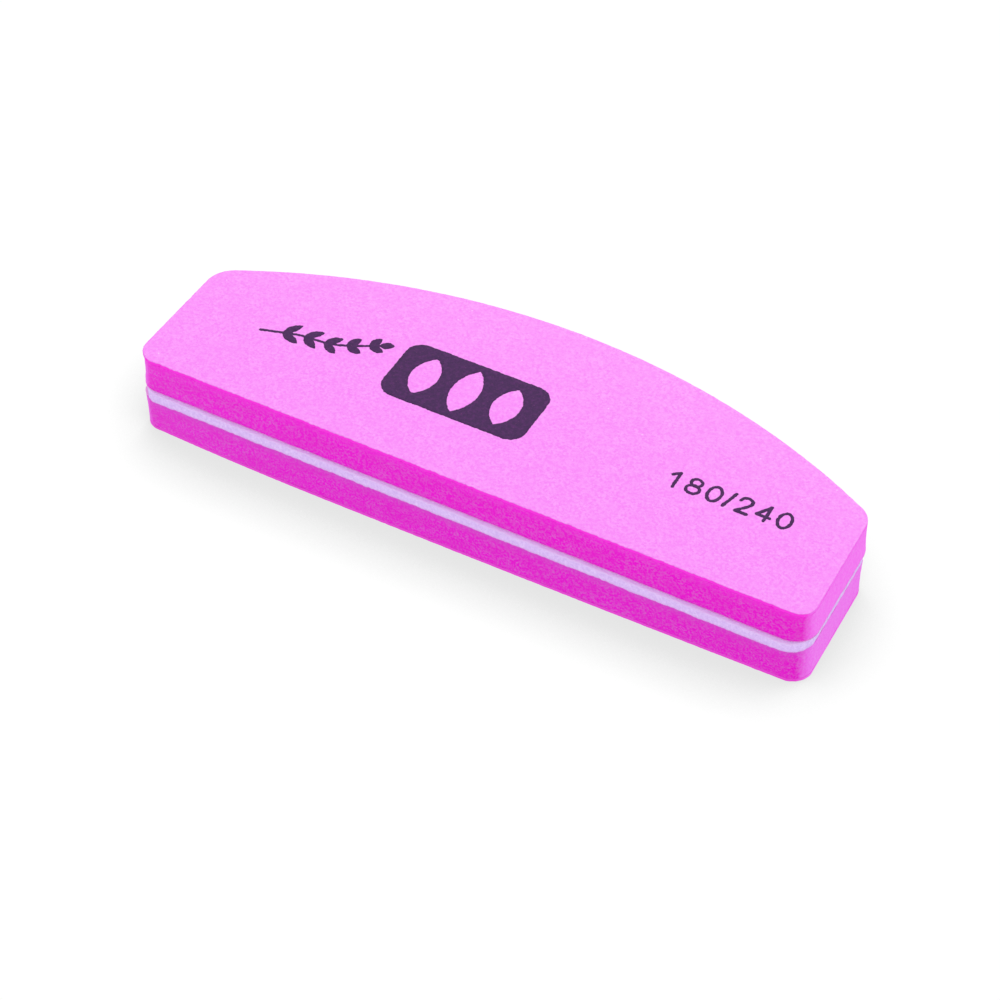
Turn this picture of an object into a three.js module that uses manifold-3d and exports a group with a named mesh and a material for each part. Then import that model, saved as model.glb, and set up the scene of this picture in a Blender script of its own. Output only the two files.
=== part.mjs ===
// Half-moon nail buffer block, lying on its lower face.
// A die-cut sandwich: coated abrasive, foam, a stiff core board, foam, coated abrasive, bonded by thin
// adhesive films, with ink marks printed on the upper face. Nothing on it moves.
//
// Frame: millimetres, +Z up. X runs along the straight front edge and +Y points to the bowed back.
// The origin is the centre of the bounding box of the block's lower face.
import * as THREE from "three";
import { mergeVertices } from "three/addons/utils/BufferGeometryUtils.js";
import Module from "manifold-3d";

const wasm = await Module();
wasm.setup();

// Driving dimensions of the outline.
const LENGTH = 90; // between the two ends at the front edge, before rounding
const BACK_SPAN = 89; // between the two back corners, before rounding
const WIDTH = 30; // front edge of the core board to the crown of the bowed back
const END_WIDTH = 18.5; // front edge of the core board to a back corner
const FRONT_CORNER_RADIUS = 2.1;
const BACK_CORNER_RADIUS = 3.4;
const CORE_LEDGE = 0.5; // the core board stands this far out of the foam along the front
const FILM_SETBACK = 0.15; // adhesive stays this far inside the cut edge
const ARC_SEGMENTS = 12; // curve divisions, which three.js doubles on an arc

// Thickness of each layer of the sandwich.
const SHEET = 0.45;
const FILM = 0.1;
const UPPER_FOAM = 4.5;
const CORE = 1.3;
const LOWER_FOAM = 4.9;
const INK = 0.04;

// Printed marks, placed on the upper face by their distance from the foam's front edge.
const PEN = 0.46; // stroke width of the numerals
const NUMERAL_HEIGHT = 2.93;
const NUMERAL_BASE = 11.1;
const NUMERAL_LEFTS = [21.1, 23.4, 26.0, 28.4, 29.9, 32.4, 35.0]; // left edges of "180/240"
const EMBLEM = { x: -6.7, y: 13.7, width: 19.6, height: 9.9, radius: 2.2 };
const EMBLEM_ALMONDS = { count: 3, pitch: 5.6, width: 3.5, length: 6.6, middleExtra: 1.2 };
const SPRIG_STEM = 0.42; // stroke width of the sprig's stem
const SPRIG_END_LEAF_START = 0.97; // share of the stem's length
const SPRIG_LEAVES = {
  pairs: 5,
  length: 3.0,
  width: 1.15,
  spread: 0.62, // angle between a leaf and the stem, in radians
  taper: 0.35, // how much shorter a leaf at the stem's tip would be
  endGap: 0.6, // stem left beyond the last pair, in gaps between pairs
};
const STROKE_STEPS = 20; // points along a curved stroke
const CAP_STEPS = 6; // divisions round a stroke's end
const LEAF_SEGMENTS = 6; // curve divisions of a leaf, which three.js doubles on an arc

const FRONT_Y = -WIDTH / 2; // front edge of the core board
const FOAM_FRONT_Y = FRONT_Y + CORE_LEDGE; // front edge of everything else
const CROWN_Y = WIDTH / 2;
const BACK_CORNER_Y = FRONT_Y + END_WIDTH;

const materials = {
  abrasive: new THREE.MeshStandardMaterial({ color: 0xfe99fd, roughness: 0.95, metalness: 0 }),
  foam: new THREE.MeshStandardMaterial({ color: 0xe437cf, roughness: 0.9, metalness: 0 }),
  core: new THREE.MeshStandardMaterial({ color: 0xded0f8, roughness: 0.6, metalness: 0 }),
  adhesive: new THREE.MeshStandardMaterial({ color: 0xe8dfe6, roughness: 0.5, metalness: 0 }),
  ink: new THREE.MeshStandardMaterial({ color: 0x4b325f, roughness: 0.7, metalness: 0 }),
};

// ---- Outline ----------------------------------------------------------------------------------

// The half-moon outline with its front edge at frontY, moved inwards by inset all round.
// Each end is one straight line for every layer, the back is one arc, and all four corners are arcs.
function halfMoon(frontY, inset = 0) {
  const front = frontY + inset;
  const frontCorner = new THREE.Vector2(LENGTH / 2, FRONT_Y);
  const backCorner = new THREE.Vector2(BACK_SPAN / 2, BACK_CORNER_Y);
  const along = backCorner.clone().sub(frontCorner).normalize();
  const inward = new THREE.Vector2(-along.y, along.x);
  const end = frontCorner.clone().addScaledVector(inward, inset); // a point on the right end line

  const rise = CROWN_Y - BACK_CORNER_Y;
  const arcRadius = ((BACK_SPAN / 2) ** 2 + rise ** 2) / (2 * rise);
  const arcCentre = new THREE.Vector2(0, CROWN_Y - arcRadius);
  const backRadius = arcRadius - inset;

  const frontRound = FRONT_CORNER_RADIUS - inset;
  const toFrontRound = (front - end.y + frontRound * (1 - inward.y)) / along.y;
  const frontCentre = end
    .clone()
    .addScaledVector(along, toFrontRound)
    .addScaledVector(inward, frontRound);

  // The back corner's centre is backRound inside both the end line and the back arc.
  const backRound = BACK_CORNER_RADIUS - inset;
  const start = end.clone().addScaledVector(inward, backRound).sub(arcCentre);
  const half = start.dot(along);
  const toBackRound = -half + Math.sqrt(half ** 2 - start.lengthSq() + (backRadius - backRound) ** 2);
  const backCentre = end
    .clone()
    .addScaledVector(along, toBackRound)
    .addScaledVector(inward, backRound);

  const endAngle = inward.clone().negate().angle();
  const backAngle = backCentre.clone().sub(arcCentre).angle();
  const endAngleSigned = endAngle > Math.PI ? endAngle - 2 * Math.PI : endAngle;

  const shape = new THREE.Shape();
  shape.absarc(frontCentre.x, frontCentre.y, frontRound, -Math.PI / 2, endAngleSigned, false);
  shape.absarc(backCentre.x, backCentre.y, backRound, endAngleSigned, backAngle, false);
  shape.absarc(arcCentre.x, arcCentre.y, backRadius, backAngle, Math.PI - backAngle, false);
  const leftEndAngle = Math.PI - endAngleSigned;
  shape.absarc(-backCentre.x, backCentre.y, backRound, Math.PI - backAngle, leftEndAngle, false);
  shape.absarc(-frontCentre.x, frontCentre.y, frontRound, leftEndAngle, 1.5 * Math.PI, false);
  shape.closePath();
  return shape;
}

// ---- Solids -----------------------------------------------------------------------------------

function extrude(shape, thickness) {
  return new THREE.ExtrudeGeometry(shape, {
    depth: thickness,
    bevelEnabled: false,
    curveSegments: ARC_SEGMENTS,
  });
}

function toSolid(geometry) {
  const bare = geometry.clone().deleteAttribute("normal").deleteAttribute("uv");
  const merged = mergeVertices(bare);
  return new wasm.Manifold(
    new wasm.Mesh({
      numProp: 3,
      vertProperties: merged.attributes.position.array,
      triVerts: new Uint32Array(merged.index.array),
    }),
  );
}

function toGeometry(solid) {
  const mesh = solid.getMesh();
  const geometry = new THREE.BufferGeometry();
  geometry.setAttribute("position", new THREE.BufferAttribute(mesh.vertProperties, 3));
  geometry.setIndex(new THREE.BufferAttribute(mesh.triVerts, 1));
  geometry.computeVertexNormals();
  return geometry;
}

// One ink mark: the union of several flat shapes, as thick as the ink.
function inkUnion(shapes) {
  const solids = shapes.map((shape) => toSolid(extrude(shape, INK)));
  return toGeometry(solids.reduce((joined, solid) => joined.add(solid)));
}

// ---- Flat shapes for the ink ------------------------------------------------------------------

function polar(angle, radius) {
  return new THREE.Vector2(Math.cos(angle), Math.sin(angle)).multiplyScalar(radius);
}

// A pen stroke of constant width along a curve, with round ends.
function penStroke(curve, width, steps = STROKE_STEPS) {
  const half = width / 2;
  const side = (sign) => (i) => {
    const t = i / steps;
    const tangent = curve.getTangentAt(t);
    const across = new THREE.Vector2(-tangent.y, tangent.x);
    return curve.getPointAt(t).addScaledVector(across, sign * half);
  };
  const cap = (t, turn) => (i) => {
    const tangent = curve.getTangentAt(t);
    return curve.getPointAt(t).add(polar(tangent.angle() + turn + (Math.PI * i) / CAP_STEPS, half));
  };
  const indices = [...Array(steps + 1).keys()];
  const capIndices = [...Array(CAP_STEPS - 1).keys()].map((i) => i + 1);
  return new THREE.Shape([
    ...indices.map(side(-1)),
    ...capIndices.map(cap(1, -Math.PI / 2)),
    ...indices.reverse().map(side(1)),
    ...capIndices.map(cap(0, Math.PI / 2)),
  ]);
}

function line(x0, y0, x1, y1) {
  return penStroke(new THREE.LineCurve(new THREE.Vector2(x0, y0), new THREE.Vector2(x1, y1)), PEN, 1);
}

function curveThrough(...points) {
  return new THREE.SplineCurve(points.map(([x, y]) => new THREE.Vector2(x, y)));
}

// A closed oval stroke: radii are those of the stroke's outer edge.
function oval(x, y, radiusX, radiusY) {
  const shape = new THREE.Shape();
  shape.absellipse(x, y, radiusX, radiusY, 0, 2 * Math.PI, false);
  const hole = new THREE.Path();
  hole.absellipse(x, y, radiusX - PEN, radiusY - PEN, 0, 2 * Math.PI, true);
  shape.holes.push(hole);
  return shape;
}

// An almond between two tips, made of two equal arcs.
function almond(tail, tip, width) {
  const chord = tip.clone().sub(tail);
  const half = chord.length() / 2;
  const sagitta = width / 2;
  const radius = (half ** 2 + sagitta ** 2) / (2 * sagitta);
  const middle = tail.clone().add(tip).multiplyScalar(0.5);
  const across = new THREE.Vector2(-chord.y, chord.x).normalize();
  const left = middle.clone().addScaledVector(across, radius - sagitta);
  const right = middle.clone().addScaledVector(across, sagitta - radius);
  const path = new THREE.Path();
  const reach = Math.asin(half / radius);
  const facing = across.angle();
  path.absarc(right.x, right.y, radius, facing - reach, facing + reach, false);
  path.absarc(left.x, left.y, radius, facing + Math.PI - reach, facing + Math.PI + reach, false);
  path.closePath();
  return path;
}

function leaf(root, tip, width) {
  const points = almond(root, tip, width).getPoints(LEAF_SEGMENTS);
  return new THREE.Shape(points.slice(0, -1)); // the last point repeats the first
}

// ---- Ink marks --------------------------------------------------------------------------------

// Numerals drawn with the pen, in millimetres from their own lower left corner.
const TOP = NUMERAL_HEIGHT - PEN / 2; // the pen's centre line at a numeral's top
const FOOT = PEN / 2; // and at its foot
const numeralStrokes = {
  one: () => [line(1.05, FOOT, 1.05, TOP), line(1.05, TOP, 0.25, 2.08)],
  eight: () => [oval(1.05, 2.11, 0.9, 0.82), oval(1.05, 0.92, 1.05, 0.92)],
  zero: () => [oval(1.03, NUMERAL_HEIGHT / 2, 1.03, NUMERAL_HEIGHT / 2)],
  slash: () => [line(0.23, FOOT, 0.92, TOP)],
  two: () => [
    penStroke(
      curveThrough(
        [0.27, 2.05],
        [0.5, 2.52],
        [1.05, TOP],
        [1.62, 2.45],
        [1.7, 1.9],
        [1.2, 1.2],
        [0.3, FOOT],
      ),
      PEN,
    ),
    line(0.3, FOOT, 1.8, FOOT),
  ],
  four: () => [line(1.45, FOOT, 1.45, TOP), line(1.45, TOP, 0.27, 0.95), line(0.27, 0.95, 1.9, 0.95)],
};

function emblemPlate() {
  const { width, height, radius } = EMBLEM;
  const x = width / 2 - radius;
  const y = height / 2 - radius;
  const plate = new THREE.Shape();
  plate.absarc(x, -y, radius, -Math.PI / 2, 0, false);
  plate.absarc(x, y, radius, 0, Math.PI / 2, false);
  plate.absarc(-x, y, radius, Math.PI / 2, Math.PI, false);
  plate.absarc(-x, -y, radius, Math.PI, 1.5 * Math.PI, false);
  plate.closePath();
  const { count, pitch, width: almondWidth, length, middleExtra } = EMBLEM_ALMONDS;
  for (let i = 0; i < count; i++) {
    const place = i - (count - 1) / 2;
    const reach = (length + (place === 0 ? middleExtra : 0)) / 2;
    const tail = new THREE.Vector2(place * pitch, -reach);
    const tip = new THREE.Vector2(place * pitch, reach);
    plate.holes.push(almond(tail, tip, almondWidth));
  }
  return inkUnion([plate]);
}

// A stem with pairs of leaves, shorter towards its tip, and one leaf at its end.
function leafSprig() {
  const stem = curveThrough([-34.0, 11.2], [-29.5, 12.6], [-24.5, 13.3], [-19.4, 15.9]);
  const { pairs, length, width, spread, taper, endGap } = SPRIG_LEAVES;
  const shapes = [penStroke(stem, SPRIG_STEM)];
  for (let i = 0; i < pairs; i++) {
    const t = (i + 1) / (pairs + endGap);
    const root = stem.getPointAt(t);
    const heading = stem.getTangentAt(t).angle();
    const reach = length * (1 - taper * t);
    for (const side of [-1, 1]) {
      shapes.push(leaf(root, root.clone().add(polar(heading + side * spread, reach)), width));
    }
  }
  const tip = stem.getPointAt(1).addScaledVector(stem.getTangentAt(1), length / 2);
  shapes.push(leaf(stem.getPointAt(SPRIG_END_LEAF_START), tip, width));
  return inkUnion(shapes);
}

// ---- Assembly ---------------------------------------------------------------------------------

const block = new THREE.Group();

function addPiece(name, geometry, material, x, y, z) {
  const mesh = new THREE.Mesh(geometry, material);
  mesh.name = name;
  mesh.position.set(x, y, z);
  block.add(mesh);
}

const foamOutline = halfMoon(FOAM_FRONT_Y);
const filmOutline = halfMoon(FOAM_FRONT_Y, FILM_SETBACK);
const coreOutline = halfMoon(FRONT_Y);

// The sandwich from the bottom up.
const layers = [
  ["lower_abrasive_sheet", foamOutline, SHEET, materials.abrasive],
  ["lower_sheet_adhesive", filmOutline, FILM, materials.adhesive],
  ["lower_foam_pad", foamOutline, LOWER_FOAM, materials.foam],
  ["lower_core_adhesive", filmOutline, FILM, materials.adhesive],
  ["core_board", coreOutline, CORE, materials.core],
  ["upper_core_adhesive", filmOutline, FILM, materials.adhesive],
  ["upper_foam_pad", foamOutline, UPPER_FOAM, materials.foam],
  ["upper_sheet_adhesive", filmOutline, FILM, materials.adhesive],
  ["upper_abrasive_sheet", foamOutline, SHEET, materials.abrasive],
];
let top = 0;
for (const [name, outline, thickness, material] of layers) {
  addPiece(name, extrude(outline, thickness), material, 0, 0, top);
  top += thickness;
}

addPiece("ink_leaf_sprig", leafSprig(), materials.ink, 0, FOAM_FRONT_Y, top);
addPiece("ink_emblem_plate", emblemPlate(), materials.ink, EMBLEM.x, FOAM_FRONT_Y + EMBLEM.y, top);
["one", "eight", "zero", "slash", "two", "four", "zero"].forEach((numeral, i) => {
  const geometry = inkUnion(numeralStrokes[numeral]());
  const name = `ink_grit_${i + 1}_${numeral}`;
  addPiece(name, geometry, materials.ink, NUMERAL_LEFTS[i], FOAM_FRONT_Y + NUMERAL_BASE, top);
});

export default block;
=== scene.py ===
"""The looks of the half-moon nail buffer block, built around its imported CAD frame.

The block is a die-cut sandwich: abrasive sheet, foam, core board, foam, abrasive sheet, with adhesive
films between them and ink printed on the upper sheet. Each is remade here as a detailed mesh.

Shapes are worked out in millimetres and scaled to metres when a mesh is made.
"""

import math

import bpy
import numpy as np
from mathutils import Matrix, Vector, noise
from mathutils.geometry import delaunay_2d_cdt


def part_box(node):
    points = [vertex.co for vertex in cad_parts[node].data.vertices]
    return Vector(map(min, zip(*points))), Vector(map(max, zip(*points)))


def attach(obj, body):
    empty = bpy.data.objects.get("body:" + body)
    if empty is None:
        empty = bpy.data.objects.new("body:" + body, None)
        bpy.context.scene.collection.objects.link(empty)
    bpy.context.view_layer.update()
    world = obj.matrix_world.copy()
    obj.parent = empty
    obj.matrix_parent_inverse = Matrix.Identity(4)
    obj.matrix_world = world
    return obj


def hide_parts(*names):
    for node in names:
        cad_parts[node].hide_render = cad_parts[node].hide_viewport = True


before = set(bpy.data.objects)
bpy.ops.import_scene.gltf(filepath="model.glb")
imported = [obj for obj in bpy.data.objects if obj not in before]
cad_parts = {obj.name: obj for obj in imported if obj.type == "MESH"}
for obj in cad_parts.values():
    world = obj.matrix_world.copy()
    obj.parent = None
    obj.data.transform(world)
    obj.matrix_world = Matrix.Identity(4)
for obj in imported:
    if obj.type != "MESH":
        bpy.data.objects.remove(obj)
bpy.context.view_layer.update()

MM = 0.001

# ---- Driving dimensions, in millimetres ----------------------------------------------------------

# The outline, as in the CAD.
LENGTH = 90.0  # along the front edge, end to end
BACK_SPAN = 89.0  # between the two back corners, before rounding
WIDTH = 30.0  # front edge of the core board to the crown of the bowed back
END_WIDTH = 18.5  # front edge of the core board to a back corner
FRONT_CORNER_RADIUS = 2.1

# How finely the meshes are divided: cells along the front or back, and along an end.
FOAM_CELLS = (620, 136)
SHEET_CELLS = (580, 128)
WALL_STEP = 0.15  # height of a row of faces on a foam wall
ROUNDING_ROWS = 6  # rows of points round a wall's edge
CORNER_POINTS = 48  # on half a corner's arc, before the outline is divided evenly
BACK_POINTS = 200  # on half the bowed back

# Rings of a hidden face, by how far they are inside the wall's last ring.
LID_INSET = 1.2
LID_NEAR_INSET = 0.4
CORE_LID_INSET = 1.4
FILM_LID_INSET = 1.0

# A pad's rim stands up beside the adhesive, almost to the sheet.
RIM_GAP = 0.01  # between the rim and the sheet
RIM_WIDTH = 0.06  # of its flat top, inwards from the wall's last ring
RIM_FOOT_INSET = 0.08  # from that ring to where the rim has come down to the pad's face

# Where the die leaned as it cut, and where the foam spread or shrank afterwards.
FOOT_FORWARD = 0.15  # the foot of the lower pad stands forward of its top in the middle
LEAN_START = -20.0  # along X, where that step forward is greatest
LEAN_RIGHT = (0.43, 62.0)  # how far it steps back towards each end, and over what length
LEAN_LEFT = (0.50, 22.0)
LEAN_DEPTH = 6.0  # distance behind the front edge over which the lean dies away
RIGHT_BULGE = 0.20  # the upper foam spreads over the core board at its right end
FOOT_RIGHT_SHRINK = 0.03  # the foot of the lower pad is drawn in at its right end
CORE_LEFT_SHRINK = 0.38  # the core board ends this much short of the pads at its left end
CORE_EDGE_ROUND = 0.30  # the core board's upper edge is worn round along its front ledge
END_START = 42.0  # from the middle along X, where the moved end of an outline begins
END_BLEND = 2.5  # and the length over which it takes up the whole move

# The die rounded some corners more than others. The CAD has one radius for the front corners and one
# for the back ones. A pad's head is its upper edge and its foot is its lower one.
BACK_LEFT_RADIUS = 3.9
BACK_RIGHT_RADIUS = 2.7
SHEET_LEFT_RADIUS = 2.4
UPPER_HEAD_LEFT_RADIUS = 2.8
UPPER_FOOT_LEFT_RADIUS = 2.4
CORE_LEFT_RADIUS = 2.9
LOWER_FOOT_LEFT_RADIUS = 1.9
CORE_RIGHT_RADIUS = 3.2  # of the core board and of both pads where they meet it
LOWER_FOOT_RIGHT_RADIUS = 2.6

INK_TOP = 0.02  # the ink stands this far above the sheet
INK_DEPTH = 0.03  # and soaks this far into it
INK_STEP = 0.09  # between points along a printed edge
INK_FEWEST_POINTS = 12  # on the shortest printed edge
INK_FILL_STEP = 0.45  # between points inside a printed area
INK_FILL_STRAY = 0.3 * INK_FILL_STEP  # how far those points stray from a regular grid
INK_CLEARANCE = 0.6 * INK_STEP  # and how far they keep from a printed edge
INK_RAGGED = 0.05  # how far a printed edge strays
INK_SHRINK = 0.02  # and how far it falls short of the plate's edge
SAME_HEIGHT = 0.001  # two heights closer than this are one
FILL_INSIDE = 2  # delaunay_2d_cdt keeps the triangles inside the outermost outlines
CLOSEST_POINTS = 1e-5  # and takes points closer than this as one

# Seeds of each piece's relief and ragged edges.
UPPER_FOAM_SEED = 1
LOWER_FOAM_SEED = 5
CORE_SEED = 9
UPPER_SHEET_SEED = 11
LOWER_SHEET_SEED = 21
FILM_SEED = 31
INK_SEED = 40
INK_SEED_STEP = 3  # from one mark to the next
INK_FILL_SEED = 3  # of the loose grid that fills every mark

# Relief in layers, each by its depth and the size of its features.
FOAM_RELIEF = ((0.022, 3.1), (0.012, 0.8), (0.012, 0.36))  # a slow wave, and opened cells
SHEET_RELIEF = ((0.010, 3.0), (0.007, 0.8))  # the grit coat's slight unevenness
INK_EDGE_RELIEF = ((0.6, 0.5), (0.6, 0.22))  # in shares of INK_RAGGED

# How far a sheet's cut edge strays along the front, and what share of that it strays elsewhere.
UPPER_SHEET_RAGGED = 0.035
LOWER_SHEET_RAGGED = 0.012
SHEET_SIDE_SHARE = 0.35


def levels(node):
    """The lowest and highest point of a CAD node, in millimetres."""
    low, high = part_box(node)
    return low.z / MM, high.z / MM


def front_of(node):
    """The Y of a CAD node's front edge, in millimetres."""
    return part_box(node)[0].y / MM


# ---- Camera --------------------------------------------------------------------------------------

CAMERA_TARGET = Vector((2.872, -9.613, 6.0)) * MM
CAMERA_DISTANCE = 373.87 * MM
CAMERA_AZIMUTH = math.radians(28.17)
CAMERA_ELEVATION = math.radians(45.49)
CAMERA_ROLL = math.radians(0.51)
CAMERA_LENS = 113.48
SENSOR_WIDTH = 36.0


def towards(azimuth, elevation):
    """The direction from the block to what stands at those angles. Azimuth 0 is in front of it."""
    flat = math.cos(elevation)
    return Vector((math.sin(azimuth) * flat, -math.cos(azimuth) * flat, math.sin(elevation)))


def make_camera():
    """A long lens that looks down on the block from its front right."""
    data = bpy.data.cameras.new("camera")
    data.lens = CAMERA_LENS
    data.sensor_width = SENSOR_WIDTH
    data.clip_start = 0.01
    data.clip_end = 20.0
    camera = bpy.data.objects.new("camera", data)
    bpy.context.scene.collection.objects.link(camera)
    back = towards(CAMERA_AZIMUTH, CAMERA_ELEVATION)
    aim = (-back).to_track_quat("-Z", "Y").to_matrix().to_4x4()
    roll = Matrix.Rotation(CAMERA_ROLL, 4, "Z")
    camera.matrix_world = Matrix.Translation(CAMERA_TARGET + back * CAMERA_DISTANCE) @ (aim @ roll)
    bpy.context.scene.camera = camera


# ---- Outline -------------------------------------------------------------------------------------


def arc(centre, radius, start, end, count=CORNER_POINTS):
    """Points on a circle from one angle to another."""
    angles = np.linspace(start, end, count)
    return centre + radius * np.stack([np.cos(angles), np.sin(angles)], axis=1)


def right_half(front_y, front_round, back_round):
    """The right half of the outline as three runs of points: half the front, the end, half the back.
    They meet half way round the corner arcs."""
    low = np.array([LENGTH / 2, -WIDTH / 2])
    high = np.array([BACK_SPAN / 2, END_WIDTH - WIDTH / 2])
    along = (high - low) / np.linalg.norm(high - low)
    inward = np.array([-along[1], along[0]])
    rise = WIDTH - END_WIDTH
    back_radius = ((BACK_SPAN / 2) ** 2 + rise**2) / (2 * rise)
    back_centre = np.array([0.0, WIDTH / 2 - back_radius])

    climb = (front_y - low[1] + front_round * (1 - inward[1])) / along[1]
    front_corner = low + along * climb + inward * front_round
    start = low + inward * back_round
    from_centre = start - back_centre
    half = from_centre @ along
    reach = back_radius - back_round
    climb = -half + math.sqrt(half**2 - from_centre @ from_centre + reach**2)
    back_corner = start + along * climb

    end_angle = math.atan2(-inward[1], -inward[0])
    back_angle = math.atan2(*(back_corner - back_centre)[::-1])
    front_middle = (end_angle - math.pi / 2) / 2
    back_middle = (end_angle + back_angle) / 2
    front = [[[0.0, front_y]], arc(front_corner, front_round, -math.pi / 2, front_middle)]
    end = [
        arc(front_corner, front_round, front_middle, end_angle),
        arc(back_corner, back_round, end_angle, back_middle),
    ]
    back = [
        arc(back_corner, back_round, back_middle, back_angle),
        arc(back_centre, back_radius, back_angle, math.pi / 2, BACK_POINTS),
    ]
    return [np.concatenate(run) for run in (front, end, back)]


def resample(points, cells):
    """cells + 1 points evenly spaced along a run of points."""
    steps = np.linalg.norm(np.diff(points, axis=0), axis=1)
    along = np.concatenate([[0], np.cumsum(steps)])
    at = np.linspace(0, along[-1], cells + 1)
    return np.stack([np.interp(at, along, points[:, k]) for k in range(2)], axis=1)


def outline(front_y, cells, left_radius=FRONT_CORNER_RADIUS, right_radius=FRONT_CORNER_RADIUS):
    """The closed outline, counter-clockwise from the front left corner."""
    long, short = cells
    front, end, back = right_half(front_y, right_radius, BACK_RIGHT_RADIUS)
    mirrored = [run * (-1, 1) for run in right_half(front_y, left_radius, BACK_LEFT_RADIUS)]
    sides = [
        (np.concatenate([mirrored[0][::-1], front[1:]]), long),
        (end, short),
        (np.concatenate([back, mirrored[2][::-1][1:]]), long),
        (mirrored[1][::-1], short),
    ]
    return np.concatenate([resample(run, count)[:-1] for run, count in sides])


def outward(loop):
    """The unit outward normal at each point of a counter-clockwise loop."""
    along = np.roll(loop, -1, axis=0) - np.roll(loop, 1, axis=0)
    along /= np.linalg.norm(along, axis=1, keepdims=True)
    return np.stack([along[:, 1], -along[:, 0]], axis=1)


def smooth(t):
    """Eases from 0 to 1 as t goes from 0 to 1."""
    t = np.clip(t, 0, 1)
    return t * t * (3 - 2 * t)


def move_end(loop, side, distance):
    """The outline with one end moved along X. side is 1 for the right end and -1 for the left."""
    share = smooth((loop[:, 0] * side - END_START) / END_BLEND)
    return loop + np.column_stack([distance * share, np.zeros(len(loop))])


def foot_outline(front_y, cells):
    """The outline at the foot of the lower pad: its front edge steps back towards both ends."""
    loop = outline(front_y, cells, LOWER_FOOT_LEFT_RADIUS, LOWER_FOOT_RIGHT_RADIUS)
    loop = move_end(loop, 1, -FOOT_RIGHT_SHRINK)
    x, y = loop.T
    right = LEAN_RIGHT[0] * (np.clip(x - LEAN_START, 0, None) / LEAN_RIGHT[1]) ** 2
    left = LEAN_LEFT[0] * (np.clip(LEAN_START - x, 0, None) / LEAN_LEFT[1]) ** 2
    near_front = 1 - smooth((y - y.min()) / LEAN_DEPTH)
    return np.stack([x, y + (right + left - FOOT_FORWARD) * near_front], axis=1)


# ---- Small relief --------------------------------------------------------------------------------


def wander(points, size, seed):
    """Smooth noise from about -1 to 1 with features of that size, at points of two or three numbers."""
    solid = points if points.shape[1] == 3 else np.column_stack([points, np.zeros(len(points))])
    shift = Vector((17.3, 5.1, 9.7)) * seed
    return np.array([noise.noise(Vector(p) / size + shift) for p in solid]) * 2


def layered(points, layers, seed):
    """The sum of layers of noise, each with its depth and size and with the next seed."""
    return sum(depth * wander(points, size, seed + i) for i, (depth, size) in enumerate(layers))


# ---- Mesh building -------------------------------------------------------------------------------


def cut_profile(bottom, top, low_radius, high_radius, hollow, step=WALL_STEP):
    """Height and inset of each row of a die-cut wall, with rounded edges and its middle drawn in."""
    turn = np.linspace(0, math.pi / 2, ROUNDING_ROWS)
    rounding = np.stack([1 - np.cos(turn), 1 - np.sin(turn)], axis=1)
    foot = rounding * low_radius + (bottom, 0)
    head = (rounding * (-high_radius, high_radius) + (top, 0))[::-1]
    rows = max(2, round((head[0, 0] - foot[-1, 0]) / step))
    heights = np.linspace(foot[-1, 0], head[0, 0], rows + 1)[1:-1]
    middle = np.stack([heights, np.zeros_like(heights)], axis=1)
    profile = np.concatenate([foot, middle, head])
    profile[:, 1] += hollow * np.sin(math.pi * (profile[:, 0] - bottom) / (top - bottom))
    return profile


def ring_at(loop, height):
    """A flat loop as a ring of points at that height."""
    return np.column_stack([loop, np.full(len(loop), height)])


def wall_rings(low, high, profile, bottom, top):
    """Rings of points up a wall whose outline changes from low to high."""
    rings = []
    for height, inset in profile:
        share = np.clip((height - bottom) / (top - bottom), 0, 1)
        loop = low * (1 - share) + high * share
        rings.append(ring_at(loop - outward(loop) * inset, height))
    return rings


def push_out(rings, relief):
    """Moves each ring's points along the wall's normal by relief(points)."""
    moved = []
    for ring in rings:
        normal = outward(ring[:, :2])
        moved.append(ring + np.column_stack([normal * relief(ring)[:, None], np.zeros(len(ring))]))
    return moved


def lid_rings(ring, insets, height):
    """Flat rings that carry a wall on over a hidden face."""
    normal = outward(ring[:, :2])
    return [ring_at(ring[:, :2] - normal * inset, height) for inset in insets]


def quads_between(count, rings):
    """Faces that join each of that many rings, of count points each, to the next one up."""
    here = np.arange(count)
    after = np.roll(here, -1)
    quads = np.stack([here, after, after + count, here + count], axis=1)
    return np.concatenate([quads + k * count for k in range(rings - 1)])


def patch(loop, cells):
    """A grid of points that fills a loop, by Coons's rule. Its edge points are the loop's."""
    long, short = cells
    front = loop[: long + 1]
    right = loop[long : long + short + 1]
    back = loop[long + short : 2 * long + short + 1][::-1]
    left = np.concatenate([loop[2 * long + short :], loop[:1]])[::-1]
    u = np.linspace(0, 1, long + 1)[:, None, None]
    v = np.linspace(0, 1, short + 1)[None, :, None]
    ruled = (1 - v) * front[:, None] + v * back[:, None] + (1 - u) * left[None] + u * right[None]
    corners = (
        (1 - u) * (1 - v) * front[0]
        + u * (1 - v) * front[-1]
        + (1 - u) * v * back[0]
        + u * v * back[-1]
    )
    return ruled - corners


def patch_faces(cells, loop_start, inner_start):
    """The faces of a patch. Its edge is numbered from loop_start, and the rest from inner_start."""
    long, short = cells
    index = np.full((long + 1, short + 1), -1)
    index[1:-1, 1:-1] = inner_start + np.arange((long - 1) * (short - 1)).reshape(long - 1, short - 1)
    around = loop_start + np.arange(2 * (long + short))
    index[:long, 0] = around[:long]
    index[long, :short] = around[long : long + short]
    index[long:0:-1, short] = around[long + short : 2 * long + short]
    index[0, short:0:-1] = around[2 * long + short :]
    corners = [index[:-1, :-1], index[1:, :-1], index[1:, 1:], index[:-1, 1:]]
    return np.stack([corner.ravel() for corner in corners], axis=1)


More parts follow.
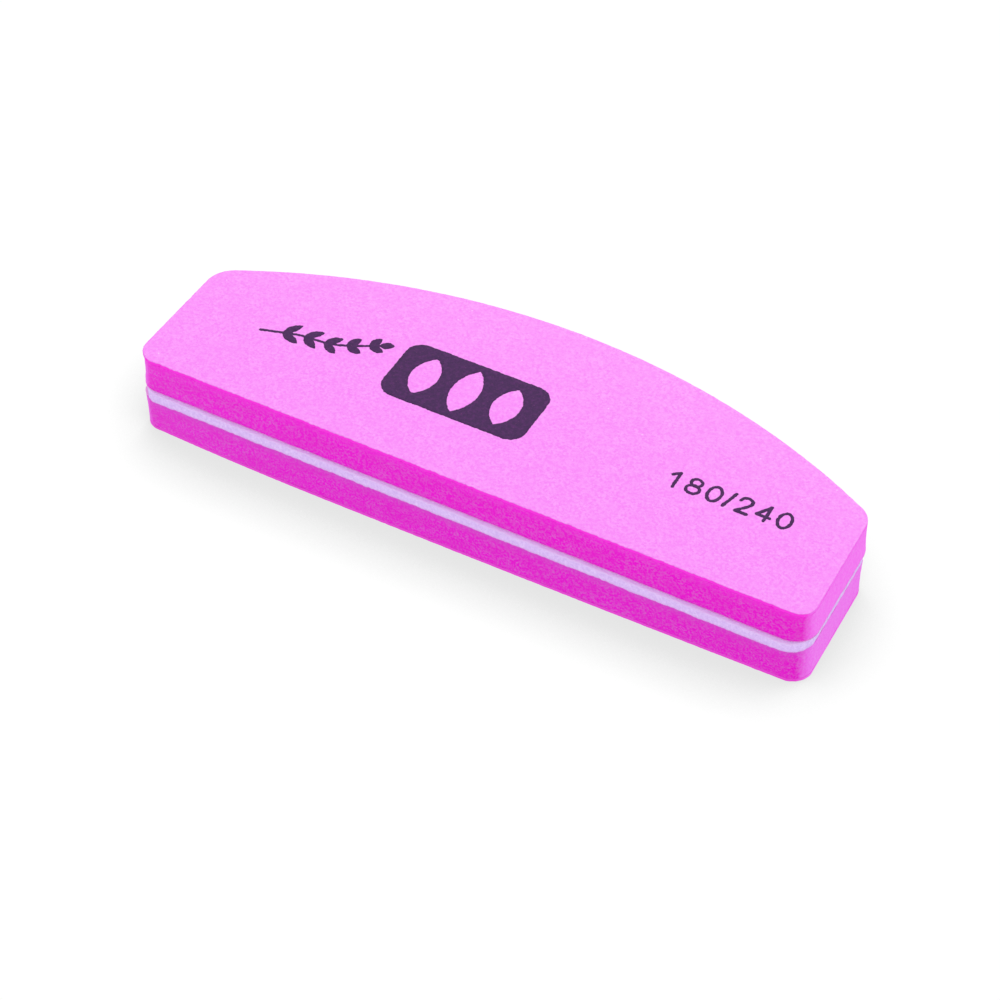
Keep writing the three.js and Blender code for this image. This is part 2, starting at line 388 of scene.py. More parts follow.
def make_piece(name, points, faces, material, slot, *nodes):
    """A named piece from points in millimetres, riding on the block in place of those CAD nodes."""
    mesh = bpy.data.meshes.new(name)
    mesh.from_pydata((points * MM).tolist(), [], [list(map(int, face)) for face in faces])
    mesh.validate()
    mesh.shade_smooth()
    mesh.materials.append(material)
    piece = bpy.data.objects.new(name, mesh)
    bpy.context.scene.collection.objects.link(piece)
    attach(piece, "root")
    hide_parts(*nodes)
    return piece


def make_stack(name, rings, material, slot, node):
    """A solid whose wall is the rings and whose two ends are plain faces."""
    count = len(rings[0])
    faces = list(quads_between(count, len(rings)))
    faces.append(np.arange(count)[::-1])
    faces.append(np.arange(count) + count * (len(rings) - 1))
    return make_piece(name, np.concatenate(rings), faces, material, slot, node)


# ---- Foam pads and core board --------------------------------------------------------------------


def upper_foam(material):
    """The upper pad, with a rim round its head. Its hidden faces are flat."""
    bottom, head = levels("upper_foam_pad")
    top = levels("upper_abrasive_sheet")[0] - RIM_GAP
    front = front_of("upper_foam_pad")
    high = outline(front, FOAM_CELLS, UPPER_HEAD_LEFT_RADIUS)
    low = outline(front, FOAM_CELLS, UPPER_FOOT_LEFT_RADIUS, CORE_RIGHT_RADIUS)
    low = move_end(low, 1, RIGHT_BULGE)
    profile = cut_profile(bottom, top, low_radius=0.20, high_radius=0.06, hollow=0.05)
    rings = wall_rings(low, high, profile, bottom, top)
    rings = push_out(rings, lambda points: layered(points, FOAM_RELIEF, UPPER_FOAM_SEED))
    under = lid_rings(rings[0], (LID_INSET, LID_NEAR_INSET), bottom)
    over = lid_rings(rings[-1], (RIM_WIDTH,), top)
    over += lid_rings(rings[-1], (RIM_FOOT_INSET, LID_INSET), head)
    piece = make_stack("upper_foam", under + rings + over, material, "foam_magenta", "upper_foam_pad")


def lower_foam(material):
    """The lower pad, with a rim round its foot. Its hidden faces are flat."""
    foot, top = levels("lower_foam_pad")
    bottom = levels("lower_abrasive_sheet")[1] + RIM_GAP
    front = front_of("lower_foam_pad")
    high = outline(front, FOAM_CELLS, right_radius=CORE_RIGHT_RADIUS)
    low = foot_outline(front, FOAM_CELLS)
    profile = cut_profile(bottom, top, low_radius=0.06, high_radius=0.12, hollow=0.06)
    rings = wall_rings(low, high, profile, 0.0, top)
    rings = push_out(rings, lambda points: layered(points, FOAM_RELIEF, LOWER_FOAM_SEED))
    under = lid_rings(rings[0], (LID_INSET, RIM_FOOT_INSET), foot)
    under += lid_rings(rings[0], (RIM_WIDTH,), bottom)
    over = lid_rings(rings[-1], (LID_NEAR_INSET, LID_INSET), top)
    piece = make_stack("lower_foam", under + rings + over, material, "foam_magenta", "lower_foam_pad")


def core_board(material):
    """The board, worn round along its front ledge and slightly uneven along its lower edge."""
    bottom, top = levels("core_board")
    loop = outline(front_of("core_board"), FOAM_CELLS, CORE_LEFT_RADIUS, CORE_RIGHT_RADIUS)
    loop = move_end(loop, -1, CORE_LEFT_SHRINK)
    profile = cut_profile(bottom, top, low_radius=0.08, high_radius=0.10, hollow=0.0, step=0.10)
    facing_front = np.clip(-outward(loop)[:, 1], 0, 1)

    def relief(points):
        """A slow wave, and finer marks that the die drew out upright."""
        upright = points * (1, 1, 0.5)
        wave = 0.03 * wander(points, 1.8, CORE_SEED)
        marks = 0.025 * wander(upright, 0.5, CORE_SEED + 1)
        return wave + marks + 0.02 * wander(upright, 0.25, CORE_SEED + 4)

    rings = push_out(wall_rings(loop, loop, profile, bottom, top), relief)
    for ring in rings:
        rise = np.clip((ring[:, 2] - top) / CORE_EDGE_ROUND + 1, 0, 1)
        ring[:, 1] += facing_front * CORE_EDGE_ROUND * (1 - np.sqrt(1 - rise**2))
        height = (ring[:, 2] - bottom) / (top - bottom)
        flat = ring[:, :2]
        stray = 0.04 * wander(flat, 1.3, CORE_SEED + 3) + 0.02 * wander(flat, 0.4, CORE_SEED + 5)
        ring[:, 2] += (1 - height) * stray
    under = lid_rings(rings[0], (CORE_LID_INSET,), bottom)
    over = lid_rings(rings[-1], (CORE_LID_INSET,), top)
    make_stack("core_layer", under + rings + over, material, "core_white", "core_board")


# ---- Adhesive films ------------------------------------------------------------------------------

# How far inside the cut edge the adhesive stays: it is pressed out further next to the stiff core.
CORE_FILM_SETBACK = 0.03
SHEET_FILM_SETBACK = 0.12
FILM_RAGGED = 0.03


def adhesive_film(node, loop, setback, material):
    """A film with a slightly uneven edge."""
    bottom, top = levels(node)
    middle = (bottom + top) / 2
    inner = loop - outward(loop) * setback
    rings = [ring_at(inner, height) for height in (bottom, middle, top)]
    rings = push_out(rings, lambda points: FILM_RAGGED * wander(points, 0.9, FILM_SEED))
    under = lid_rings(rings[0], (FILM_LID_INSET,), bottom)
    over = lid_rings(rings[-1], (FILM_LID_INSET,), top)
    make_stack(node.replace("adhesive", "film"), under + rings + over, material, "adhesive_clear", node)


def adhesive_films(material):
    """The four films. Each follows the outline that the pad has there."""
    front = front_of("upper_foam_pad")
    over_sheet = foot_outline(front, SHEET_CELLS)
    below_core = outline(front, SHEET_CELLS, right_radius=CORE_RIGHT_RADIUS)
    above_core = outline(front, SHEET_CELLS, UPPER_FOOT_LEFT_RADIUS, CORE_RIGHT_RADIUS)
    above_core = move_end(above_core, 1, RIGHT_BULGE)
    under_sheet = outline(front, SHEET_CELLS, UPPER_HEAD_LEFT_RADIUS)
    adhesive_film("lower_sheet_adhesive", over_sheet, SHEET_FILM_SETBACK, material)
    adhesive_film("lower_core_adhesive", below_core, CORE_FILM_SETBACK, material)
    adhesive_film("upper_core_adhesive", above_core, CORE_FILM_SETBACK, material)
    adhesive_film("upper_sheet_adhesive", under_sheet, SHEET_FILM_SETBACK, material)


# ---- Abrasive sheets -----------------------------------------------------------------------------


def abrasive_sheet(name, node, loop, face_up, raggedness, seed, material):
    """A sheet whose grit face is a fine grid with relief. Its rings run from the hidden face to the
    grit. They are made with the grit upwards, and turned over for the lower sheet."""
    bottom, top = levels(node)
    profile = cut_profile(bottom, top, low_radius=0.02, high_radius=0.07, hollow=0.0, step=0.12)
    rings = wall_rings(loop, loop, profile, bottom, top)

    def ragged(points):
        """The torn grains of the cut edge, drawn out upright and largest along the front."""
        upright = points * (1, 1, 0.3)
        facing_front = np.clip(-outward(points[:, :2])[:, 1], 0, 1)
        amount = raggedness * (SHEET_SIDE_SHARE + (1 - SHEET_SIDE_SHARE) * facing_front)
        coarse = wander(upright, 1.1, seed + 2)
        fine = wander(upright, 0.42, seed + 3) + wander(upright, 0.29, seed + 4)
        return amount * (coarse + fine)

    rings = push_out(rings, ragged)
    rings = lid_rings(rings[0], (LID_INSET,), bottom) + rings
    if not face_up:
        rings = [ring * (1, 1, -1) + (0, 0, bottom + top) for ring in rings]
    count = len(loop)
    grid = patch(rings[-1], SHEET_CELLS)
    grid[..., 2] += layered(grid.reshape(-1, 3)[:, :2], SHEET_RELIEF, seed).reshape(grid.shape[:2])
    edge = rings[-1]
    edge[:, 2] += layered(edge[:, :2], SHEET_RELIEF, seed)
    walls = quads_between(count, len(rings))
    lid = patch_faces(SHEET_CELLS, count * (len(rings) - 1), count * len(rings))
    faces = [*walls, np.arange(count)[::-1], *lid]
    if not face_up:
        faces = [face[::-1] for face in faces]
    points = np.concatenate([*rings, grid[1:-1, 1:-1].reshape(-1, 3)])
    make_piece(name, points, faces, material, "abrasive_pink", node)


def sheets(material):
    """The printed sheet on top, and the one that the block rests on."""
    front = front_of("upper_abrasive_sheet")
    abrasive_sheet(
        "upper_grit_sheet",
        "upper_abrasive_sheet",
        outline(front, SHEET_CELLS, SHEET_LEFT_RADIUS),
        face_up=True,
        raggedness=UPPER_SHEET_RAGGED,
        seed=UPPER_SHEET_SEED,
        material=material,
    )
    abrasive_sheet(
        "lower_grit_sheet",
        "lower_abrasive_sheet",
        foot_outline(front, SHEET_CELLS),
        face_up=False,
        raggedness=LOWER_SHEET_RAGGED,
        seed=LOWER_SHEET_SEED,
        material=material,
    )


# ---- Ink -----------------------------------------------------------------------------------------


def printed_loops(node):
    """The closed outlines of an ink node's upper face, in millimetres, from the CAD mesh. Vertices at
    one place count as one point, and an outline runs along the edges that only one triangle has."""
    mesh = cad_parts[node].data
    mesh.calc_loop_triangles()
    points = np.array([v.co for v in mesh.vertices]) / MM
    top = points[:, 2].max()
    places = {}
    numbers = [places.setdefault(tuple(np.round(point[:2], 4)), len(places)) for point in points]
    flat = np.array(list(places))
    edges = set()
    for triangle in mesh.loop_triangles:
        corners = [numbers[i] for i in triangle.vertices]
        on_top = points[list(triangle.vertices), 2].min() > top - SAME_HEIGHT
        if on_top and len(set(corners)) == 3:
            edges.update(zip(corners, corners[1:] + corners[:1]))
    following = {a: b for a, b in edges if (b, a) not in edges}
    loops = []
    while following:
        start, here = following.popitem()
        loop = [start]
        while here != start:
            loop.append(here)
            here = following.pop(here)
        loops.append(flat[loop])
    return loops


def ragged_edge(loop, seed):
    """The loop with evenly spaced points that stray a little, as ink does on grit."""
    closed = np.concatenate([loop, loop[:1]])
    length = np.linalg.norm(np.diff(closed, axis=0), axis=1).sum()
    fine = resample(closed, max(INK_FEWEST_POINTS, round(length / INK_STEP)))[:-1]
    stray = INK_RAGGED * layered(fine, INK_EDGE_RELIEF, seed)
    return fine + outward(fine) * (stray - INK_SHRINK)[:, None]


def inside(points, loops):
    """Whether each point is inside the loops, by the even-odd rule."""
    crossings = np.zeros(len(points), int)
    for loop in loops:
        for (ax, ay), (bx, by) in zip(loop, np.roll(loop, -1, axis=0)):
            spans = (ay > points[:, 1]) != (by > points[:, 1])
            at = ax + (points[:, 1] - ay) * (bx - ax) / (by - ay if by != ay else 1)
            crossings += spans & (points[:, 0] < at)
    return crossings % 2 == 1


def fill_points(loops):
    """A loose grid of points inside the loops, and clear of their edges."""
    edges = np.concatenate(loops)
    low, high = edges.min(axis=0), edges.max(axis=0)
    across, up = (np.arange(low[k], high[k], INK_FILL_STEP) for k in range(2))
    grid = np.stack(np.meshgrid(across, up), axis=-1).reshape(-1, 2)
    stray = [wander(grid, 0.7, INK_FILL_SEED + k) for k in range(2)]
    grid += INK_FILL_STRAY * np.column_stack(stray)
    grid = grid[inside(grid, loops)]
    if not len(grid):
        return grid
    gaps = [np.linalg.norm(edges - point, axis=1).min() for point in grid]
    return grid[np.array(gaps) > INK_CLEARANCE]


def ink_mark(node, seed, material):
    """One printed mark as a thin solid that follows the sheet's relief."""
    loops = [ragged_edge(loop, seed) for loop in printed_loops(node)]
    edges = []
    start = 0
    for loop in loops:
        numbers = np.arange(len(loop)) + start
        edges += list(zip(numbers.tolist(), np.roll(numbers, -1).tolist()))
        start += len(loop)
    flat = [Vector(point) for point in np.concatenate([*loops, fill_points(loops)])]
    filled = delaunay_2d_cdt(flat, edges, [], FILL_INSIDE, CLOSEST_POINTS)
    corners = np.array([corner[:] for corner in filled[0]])
    triangles = np.array(filled[2])
    triangles = triangles[inside(corners[triangles].mean(axis=1), loops)]
    height = levels("upper_abrasive_sheet")[1] + layered(corners, SHEET_RELIEF, UPPER_SHEET_SEED)
    upper = np.column_stack([corners, height + INK_TOP])
    lower = np.column_stack([corners, height - INK_DEPTH])
    count = len(corners)
    used = {tuple(edge) for triangle in triangles for edge in zip(triangle, np.roll(triangle, -1))}
    rim = [(b, a) for a, b in used if (b, a) not in used]
    walls = [[b, a, a + count, b + count] for b, a in sorted(rim)]
    faces = [*triangles, *(triangles[:, ::-1] + count), *walls]
    points = np.concatenate([upper, lower])
    make_piece(node.replace("ink_", "printed_"), points, faces, material, "ink_plum", node)


def ink_marks(material):
    """Every printed mark, each with a seed of its own."""
    nodes = sorted(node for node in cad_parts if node.startswith("ink_"))
    for i, node in enumerate(nodes):
        ink_mark(node, INK_SEED + INK_SEED_STEP * i, material)


# ---- Materials -----------------------------------------------------------------------------------

# The mix node has sockets for each type of value under the same names. These are its colour ones.
MIX_COLOUR_A = 6
MIX_COLOUR_B = 7
MIX_COLOUR = 2


class Nodes:
    """A material's node tree, with one method for each kind of node that is used here."""

    def __init__(self, name, roughness, specular=0.5):
        self.material = bpy.data.materials.new(name)
        self.material.use_nodes = True
        self.tree = self.material.node_tree
        self.shader = self.tree.nodes["Principled BSDF"]
        self.shader.inputs["Roughness"].default_value = roughness
        self.shader.inputs["Specular IOR Level"].default_value = specular
        self.place = self.tree.nodes.new("ShaderNodeTexCoord").outputs["Object"]

    def link(self, value, socket):
        """Joins an output to a socket, or sets the socket to a plain value."""
        if isinstance(value, bpy.types.NodeSocket):
            self.tree.links.new(value, socket)
        else:
            socket.default_value = value

    def noise(self, size, detail=2.0, roughness=0.5, stretch=(1, 1, 1)):
        """Noise from 0 to 1 with features of that size in millimetres."""
        mapping = self.tree.nodes.new("ShaderNodeMapping")
        mapping.inputs["Scale"].default_value = [1 / (size * MM * s) for s in stretch]
        self.link(self.place, mapping.inputs["Vector"])
        node = self.tree.nodes.new("ShaderNodeTexNoise")
        node.inputs["Scale"].default_value = 1.0
        node.inputs["Detail"].default_value = detail
        node.inputs["Roughness"].default_value = roughness
        self.link(mapping.outputs["Vector"], node.inputs["Vector"])
        return node.outputs["Fac"]

    def cells(self, size, randomness=1.0):
        """Distance to the nearest of many scattered points, that size apart in millimetres."""
        node = self.tree.nodes.new("ShaderNodeTexVoronoi")
        node.inputs["Scale"].default_value = 1 / (size * MM)
        node.inputs["Randomness"].default_value = randomness
        self.link(self.place, node.inputs["Vector"])
        return node.outputs["Distance"]

    def position(self, axis):
        """The distance along an axis from the block's origin, in metres. Z is the height."""
        node = self.tree.nodes.new("ShaderNodeSeparateXYZ")
        self.link(self.place, node.inputs["Vector"])
        return node.outputs[axis]

    def direction(self, axis):
        """How far the surface faces along an axis of the block, from -1 to 1."""
        node = self.tree.nodes.new("ShaderNodeSeparateXYZ")
        geometry = self.tree.nodes.new("ShaderNodeNewGeometry")
        self.link(geometry.outputs["Normal"], node.inputs["Vector"])
        return node.outputs[axis]

    def facing_end(self):
        """Where the end faces' painted sheen goes: from 0 on the front and back to 1 on the end faces,
        with a wider change at the left end.
        """
        across = self.direction("X")
        right = self.rescale(across, 0.60, 0.95)
        left = self.rescale(across, -0.30, -0.80)
        return self.math("ADD", right, left)

    def rescale(self, value, low, high, new_low=0.0, new_high=1.0, curve="LINEAR"):
        """value taken from the range low..high to new_low..new_high, and held there."""
        node = self.tree.nodes.new("ShaderNodeMapRange")
        node.interpolation_type = curve
        self.link(value, node.inputs["Value"])
        limits = {"From Min": low, "From Max": high, "To Min": new_low, "To Max": new_high}
        for socket, number in limits.items():
            node.inputs[socket].default_value = number
        return node.outputs["Result"]

    def math(self, operation, a, b=0.0):
        """One arithmetic operation on two numbers."""
        node = self.tree.nodes.new("ShaderNodeMath")
        node.operation = operation
        self.link(a, node.inputs[0])
        self.link(b, node.inputs[1])
        return node.outputs["Value"]

    def mix(self, share, a, b, blend="MIX"):
        """A colour from a to b, or from a to a blended with b."""
        node = self.tree.nodes.new("ShaderNodeMix")
        node.data_type = "RGBA"
        node.blend_type = blend
        self.link(share, node.inputs["Factor"])
        self.link((*a, 1.0) if isinstance(a, tuple) else a, node.inputs[MIX_COLOUR_A])
        self.link((*b, 1.0) if isinstance(b, tuple) else b, node.inputs[MIX_COLOUR_B])
        return node.outputs[MIX_COLOUR]

    def colour(self, value):
        """Sets the surface's colour."""
        self.link(value, self.shader.inputs["Base Color"])

    def roughness(self, value):
        """Sets the surface's roughness where it varies."""
        self.link(value, self.shader.inputs["Roughness"])

    def bump(self, value, depth, strength=1.0):
        """Raises the surface by value times depth, in millimetres."""
        node = self.tree.nodes.new("ShaderNodeBump")
        node.inputs["Strength"].default_value = strength
        node.inputs["Distance"].default_value = depth * MM
        self.link(value, node.inputs["Height"])
        self.link(node.outputs["Normal"], self.shader.inputs["Normal"])

    def sheen(self, weight, roughness, tint):
        """A soft bright bloom at grazing angles."""
        self.shader.inputs["Sheen Weight"].default_value = weight
        self.shader.inputs["Sheen Roughness"].default_value = roughness
        self.shader.inputs["Sheen Tint"].default_value = (*tint, 1.0)


# Heights in metres at which the colours of the cut edge change.
UPPER_GRIT_Z = levels("upper_abrasive_sheet")[1] * MM
LOWER_GRIT_Z = levels("lower_abrasive_sheet")[0] * MM
UPPER_FOAM_TOP_Z = levels("upper_foam_pad")[1] * MM
LOWER_FOAM_TOP_Z = levels("lower_foam_pad")[1] * MM
COAT_START = 0.02 * MM  # below the face, where the coat's colour begins to give way to the backing's
COAT_END = 0.09 * MM  # and where it has

# Painted sheen: the end faces of the foam and of the sheets' backing are painted paler, as the bloom of
# light they show at a grazing angle.
END_PAINTED_SHEEN = (0.885, 0.145, 0.845)
END_PAINTED_SHEEN_PALER = (0.885, 0.215, 0.865)

GRIT_PAINTED_SHADE = (0.728, 0.182, 0.720)
GRIT_PAINTED_LIGHT = (0.765, 0.292, 0.760)
GRIT_PATCH = (0.745, 0.215, 0.735)
GRIT_PAINTED_GLINT = (0.88, 0.58, 0.88)
GRIT_DARK_GRAIN = (0.68, 0.10, 0.60)
GRIT_BACK_PAINTED_SHEEN = (0.004, 0.018, 0.0)
LOWER_BACKING_PAINTED_SHADE = (0.780, 0.060, 0.640)
UPPER_BACKING = (0.950, 0.030, 0.740)


def grit_material():
    """Pale pink abrasive: fine grain mottled with painted shade in its hollows and painted light on its
    grains, a few painted glints and a few dark grains, and painted sheen that makes it a little paler
    towards the back. Its cut edge shows the hot pink backing under the coat. On the lower sheet that
    backing is painted darker, as shade near the floor, and on the end faces it has painted sheen."""
    nodes = Nodes("grit_pink", roughness=0.9, specular=0.25)
    fine = nodes.noise(0.32, detail=3.0, roughness=0.6)
    # painted shade and light: the grit's hollows are darker and its grains lighter
    tone = nodes.mix(nodes.rescale(fine, 0.36, 0.64), GRIT_PAINTED_SHADE, GRIT_PAINTED_LIGHT)
    patchy = nodes.rescale(nodes.noise(1.6), 0.35, 0.65, new_high=0.4)
    tone = nodes.mix(patchy, tone, GRIT_PATCH)
    # painted glints: a few bright specks on the grit
    bright = nodes.rescale(nodes.cells(2.4), 0.045, 0.015, new_high=0.8)
    tone = nodes.mix(bright, tone, GRIT_PAINTED_GLINT)
    dark = nodes.rescale(nodes.cells(1.9, randomness=0.9), 0.050, 0.02, new_high=0.4)
    tone = nodes.mix(dark, tone, GRIT_DARK_GRAIN)
    # painted sheen: the grit is a little paler towards the back
    back = nodes.rescale(nodes.position("Y"), -8 * MM, 12 * MM)
    tone = nodes.mix(back, tone, GRIT_BACK_PAINTED_SHEEN, "ADD")

    height = nodes.position("Z")
    below_upper = nodes.rescale(height, UPPER_GRIT_Z - COAT_START, UPPER_GRIT_Z - COAT_END)
    above_lower = nodes.rescale(height, LOWER_GRIT_Z + COAT_START, LOWER_GRIT_Z + COAT_END)
    between = nodes.math("MULTIPLY", below_upper, above_lower)
    # painted shade: the lower sheet's backing is darker than the upper's, as shade near the floor
    upper = nodes.math("GREATER_THAN", height, UPPER_FOAM_TOP_Z)
    backing = nodes.mix(upper, LOWER_BACKING_PAINTED_SHADE, UPPER_BACKING)
    # painted sheen: the backing is painted paler on the end faces
    backing = nodes.mix(nodes.facing_end(), backing, END_PAINTED_SHEEN)
    nodes.colour(nodes.mix(between, tone, backing))
    nodes.roughness(nodes.rescale(fine, 0.3, 0.7, 0.82, 0.95))
    nodes.bump(nodes.noise(0.12, detail=3.0, roughness=0.7), depth=0.035, strength=0.8)
    return nodes.material


FOAM_HOLLOW_PAINTED_SHADE = (0.715, 0.099, 0.588)
FOAM_WALL_PAINTED_LIGHT = (0.818, 0.0, 0.622)
FOAM_LEFT_PAINTED_GLARE = (0.026, 0.007, 0.045)
FOAM_FAR_LEFT_PAINTED_GLARE = (0.0, 0.018, 0.012)
FOAM_PATCH = (0.760, 0.018, 0.570)
FOAM_PIT_PAINTED_SHADE = (0.72, 0.002, 0.44)
FOAM_TOP_EDGE_PAINTED_LIGHT = (0.930, 0.030, 0.740)
FOAM_GLUED_AND_SHADED = (0.670, 0.110, 0.600)
LOWER_PAD_PAINTED_SHADE = (0.945, 1.0, 0.975)  # the lower pad's colour, as a share of the upper pad's
FOAM_SHEEN = (0.8, 0.75, 1.0)


def foam_material():
    """Die-cut magenta foam: fine cells, with painted light where a cell wall catches it and painted
    shade in its pits, and a painted glare that makes it paler towards the block's left. Painted light
    brightens the top edge under the sheet. The lower pad is painted darker, as shade near the floor,
    and glue with painted shade dulls it more and more towards the core board. Painted sheen makes the
    end faces paler than the front."""
    nodes = Nodes("foam_magenta", roughness=0.85, specular=0.1)
    fine = nodes.noise(0.26, detail=1.0, roughness=0.6)
    coarse = nodes.math("MULTIPLY", nodes.noise(0.8, roughness=0.6), 0.4)
    speckle = nodes.rescale(nodes.math("ADD", fine, coarse), 0.47, 0.80)
    # painted light on the foam's cell walls and painted shade in its hollows
    tone = nodes.mix(speckle, FOAM_HOLLOW_PAINTED_SHADE, FOAM_WALL_PAINTED_LIGHT)
    # painted glare: the foam is painted paler towards the block's left
    along = nodes.position("X")
    left = nodes.rescale(along, 40 * MM, -45 * MM)
    tone = nodes.mix(left, tone, FOAM_LEFT_PAINTED_GLARE, "ADD")
    far_left_glare = nodes.rescale(along, -20 * MM, -45 * MM)
    tone = nodes.mix(far_left_glare, tone, FOAM_FAR_LEFT_PAINTED_GLARE, "ADD")
    patchy = nodes.rescale(nodes.noise(1.0, stretch=(3.5, 1, 1)), 0.35, 0.65, new_high=0.4)
    tone = nodes.mix(patchy, tone, FOAM_PATCH)
    # painted shade in the foam's pits
    pit_shade = nodes.rescale(nodes.cells(0.5), 0.18, 0.05, new_high=0.5)
    tone = nodes.mix(pit_shade, tone, FOAM_PIT_PAINTED_SHADE)

    height = nodes.position("Z")
    # painted light: the foam is brighter near its top edge under the sheet
    top_edge_light = nodes.rescale(height, UPPER_FOAM_TOP_Z - 1.2 * MM, UPPER_FOAM_TOP_Z, new_high=0.45)
    tone = nodes.mix(top_edge_light, tone, FOAM_TOP_EDGE_PAINTED_LIGHT)
    lower_pad = nodes.math("LESS_THAN", height, LOWER_FOAM_TOP_Z + 0.1 * MM)
    # glue and painted shade: the lower pad is duller and greyer towards the core board, under its ledge
    under_core = nodes.rescale(height, LOWER_FOAM_TOP_Z - 3.0 * MM, LOWER_FOAM_TOP_Z - 0.2 * MM)
    glue_and_shade = nodes.math("MULTIPLY", nodes.math("POWER", under_core, 3.0), 0.6)
    glue_and_shade = nodes.math("MULTIPLY", glue_and_shade, lower_pad)
    tone = nodes.mix(glue_and_shade, tone, FOAM_GLUED_AND_SHADED)

    # painted sheen: the foam is painted paler on the end faces
    end_sheen = nodes.mix(speckle, END_PAINTED_SHEEN_PALER, END_PAINTED_SHEEN)
    tone = nodes.mix(nodes.facing_end(), tone, end_sheen)
    # painted shade: the lower pad is a little darker than the upper, as shade near the floor
    nodes.colour(nodes.mix(lower_pad, tone, LOWER_PAD_PAINTED_SHADE, "MULTIPLY"))
    nodes.bump(fine, depth=0.03, strength=0.4)
    nodes.sheen(weight=0.08, roughness=0.4, tint=FOAM_SHEEN)
    return nodes.material


CORE_HOLLOW = (0.64, 0.42, 0.87)
CORE_GRAIN = (0.80, 0.59, 0.99)
CORE_PATCH = (0.70, 0.46, 0.94)
CORE_FOOT_PAINTED_SHADE = (0.62, 0.26, 0.70)
CORE_LEDGE_PAINTED_LIGHT = (0.79, 0.62, 0.98)


def core_material():
    """Lilac-white board with a faint cut grain. Painted light makes its upward-facing ledge whiter than
    its cut edge. The cut edge's foot is painted darker and pinker where it meets the lower pad, as
    shade with pink bounce light from the foam."""
    nodes = Nodes("core_lilac", roughness=0.6, specular=0.4)
    fine = nodes.noise(0.35, detail=3.0, roughness=0.7, stretch=(1, 1, 1.5))
    grain = nodes.rescale(fine, 0.35, 0.65)
    tone = nodes.mix(grain, CORE_HOLLOW, CORE_GRAIN)
    patchy = nodes.rescale(nodes.noise(1.5), 0.35, 0.65, new_high=0.4)
    tone = nodes.mix(patchy, tone, CORE_PATCH)
    bottom = levels("core_board")[0] * MM
    # painted shade and pink bounce light: the cut edge is darker and pinker at its foot
    foot = nodes.rescale(nodes.position("Z"), bottom + 0.35 * MM, bottom + 0.05 * MM, new_high=0.6)
    tone = nodes.mix(foot, tone, CORE_FOOT_PAINTED_SHADE)
    # painted light: the upward-facing ledge is painted whiter
    upward = nodes.rescale(nodes.direction("Z"), 0.3, 0.9)
    nodes.colour(nodes.mix(upward, tone, CORE_LEDGE_PAINTED_LIGHT))
    nodes.roughness(nodes.rescale(grain, 0.0, 1.0, 0.5, 0.7))
    nodes.bump(grain, depth=0.05, strength=0.8)
    return nodes.material


FILM_CLEAR = (0.80, 0.26, 0.74)
FILM_CLOUD = (0.82, 0.36, 0.80)
FILM_BUBBLE = (0.82, 0.60, 0.86)


def adhesive_material():
    """A thin clouded film of contact adhesive, stained pink by the foam, with small bubbles."""
    nodes = Nodes("adhesive_film", roughness=0.35)
    cloud = nodes.rescale(nodes.noise(0.8, detail=3.0, roughness=0.6), 0.3, 0.7)
    tone = nodes.mix(cloud, FILM_CLEAR, FILM_CLOUD)
    bubbles = nodes.rescale(nodes.cells(0.4), 0.12, 0.05)
    nodes.colour(nodes.mix(bubbles, tone, FILM_BUBBLE))
    nodes.roughness(nodes.rescale(cloud, 0.0, 1.0, 0.25, 0.5))
    nodes.bump(cloud, depth=0.02, strength=0.5)
    return nodes.material


INK_DARK = (0.038, 0.015, 0.065)
INK_PALE = (0.068, 0.025, 0.090)
INK_THIN = (0.086, 0.024, 0.112)
INK_PINHOLE = (0.24, 0.07, 0.17)


def ink_material():
    """Plum ink on grit: thinner in places, with reddish pinholes where a grain shows through."""
    nodes = Nodes("ink_plum", roughness=0.8, specular=0.10)
    fine = nodes.noise(0.2, detail=3.0, roughness=0.65)
    tone = nodes.mix(nodes.rescale(fine, 0.3, 0.7), INK_DARK, INK_PALE)
    thin = nodes.rescale(nodes.noise(0.5, roughness=0.6), 0.45, 0.75)
    tone = nodes.mix(thin, tone, INK_THIN)
    pinholes = nodes.rescale(nodes.cells(0.42), 0.14, 0.05, new_high=0.55)
    nodes.colour(nodes.mix(pinholes, tone, INK_PINHOLE))
    nodes.roughness(nodes.rescale(fine, 0.3, 0.7, 0.6, 0.85))
    nodes.bump(nodes.noise(0.12, detail=3.0, roughness=0.7), depth=0.03, strength=0.7)
    return nodes.material


# ---- Stage and light -----------------------------------------------------------------------------

FLOOR_SIZE = 8.0  # in metres
FLOOR_DROP = 0.03  # the floor lies this far below the lower sheet's level, clear of its relief
SHADOW_REACH = 14.0  # how far from the block its shadow reaches, in millimetres
SHADOW_TONE = 0.785  # the floor's brightness where the block shades it most
FLOOR_TONE = 1.02  # and where nothing does
SHADOW_RANGE = (0.52, 0.885)  # the openness at which the floor is darkest, and at which it is bright
SHADOW_FROM = (0.055, 0.09, 1.0)  # the direction about which that openness is measured


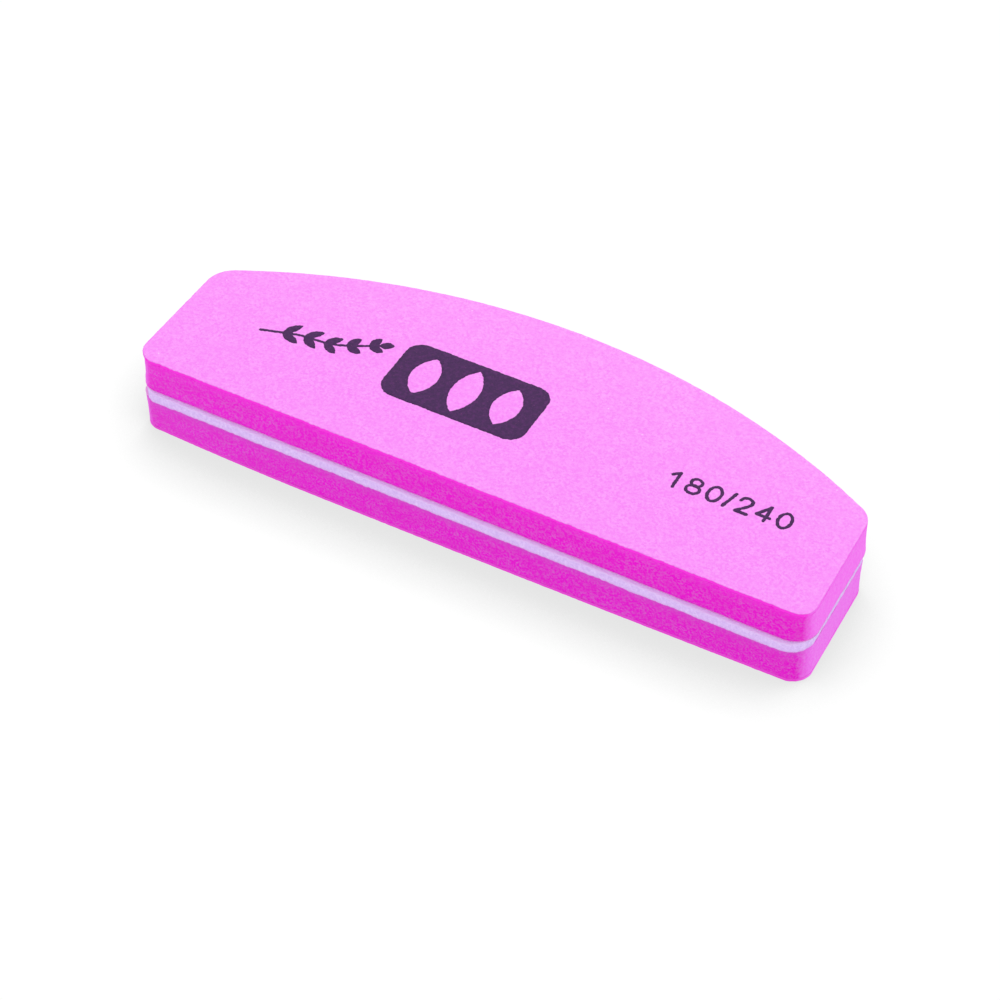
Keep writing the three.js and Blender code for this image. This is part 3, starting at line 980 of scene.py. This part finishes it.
def floor_material():
    """A white floor that glows rather than being lit, with the block's soft grey shadow painted on it
    from how open each point is to the room.
    """
    nodes = Nodes("floor_white", roughness=1.0)
    shade = nodes.tree.nodes.new("ShaderNodeAmbientOcclusion")
    shade.samples = 8
    shade.inputs["Distance"].default_value = SHADOW_REACH * MM
    tilt = nodes.tree.nodes.new("ShaderNodeCombineXYZ")
    for axis, number in zip("XYZ", Vector(SHADOW_FROM).normalized()):
        tilt.inputs[axis].default_value = number
    nodes.link(tilt.outputs["Vector"], shade.inputs["Normal"])
    glow = nodes.tree.nodes.new("ShaderNodeEmission")
    tone = nodes.rescale(shade.outputs["AO"], *SHADOW_RANGE, SHADOW_TONE, FLOOR_TONE, "SMOOTHSTEP")
    nodes.link(tone, glow.inputs["Strength"])
    nodes.link(glow.outputs["Emission"], nodes.tree.nodes["Material Output"].inputs["Surface"])
    nodes.material.cycles.emission_sampling = "NONE"
    return nodes.material


def make_floor():
    """The floor only shows: the block is lit from below by the white room, as on a light table."""
    half = FLOOR_SIZE / 2
    corners = [(-half, -half), (half, -half), (half, half), (-half, half)]
    mesh = bpy.data.meshes.new("floor")
    mesh.from_pydata([(x, y, -FLOOR_DROP * MM) for x, y in corners], [], [(0, 1, 2, 3)])
    mesh.materials.append(floor_material())
    floor = bpy.data.objects.new("floor", mesh)
    bpy.context.scene.collection.objects.link(floor)
    floor.visible_diffuse = False
    floor.visible_glossy = False
    floor.visible_shadow = False


def make_light(name, azimuth, elevation, distance, size, power):
    """A square softbox that faces the block. Its distance and size are in metres."""
    data = bpy.data.lights.new(name, "AREA")
    data.size = size
    data.energy = power
    light = bpy.data.objects.new(name, data)
    bpy.context.scene.collection.objects.link(light)
    back = towards(math.radians(azimuth), math.radians(elevation))
    light.location = back * distance
    light.rotation_mode = "QUATERNION"
    light.rotation_quaternion = (-back).to_track_quat("-Z", "Y")


def make_lights():
    """A white room that lights the block evenly, and a weak softbox above and behind it."""
    world = bpy.data.worlds.new("white_room")
    world.use_nodes = True
    background = world.node_tree.nodes["Background"]
    background.inputs["Color"].default_value = (1.0, 1.0, 1.0, 1.0)
    background.inputs["Strength"].default_value = 1.0
    bpy.context.scene.world = world
    make_light("softbox_over", azimuth=190, elevation=65, distance=1.2, size=0.9, power=6.0)
    bpy.context.scene.view_settings.view_transform = "Standard"


# ---- The scene -----------------------------------------------------------------------------------

make_camera()
make_floor()
make_lights()

foam = foam_material()
upper_foam(foam)
lower_foam(foam)
core_board(core_material())
sheets(grit_material())
ink_marks(ink_material())
adhesive_films(adhesive_material())
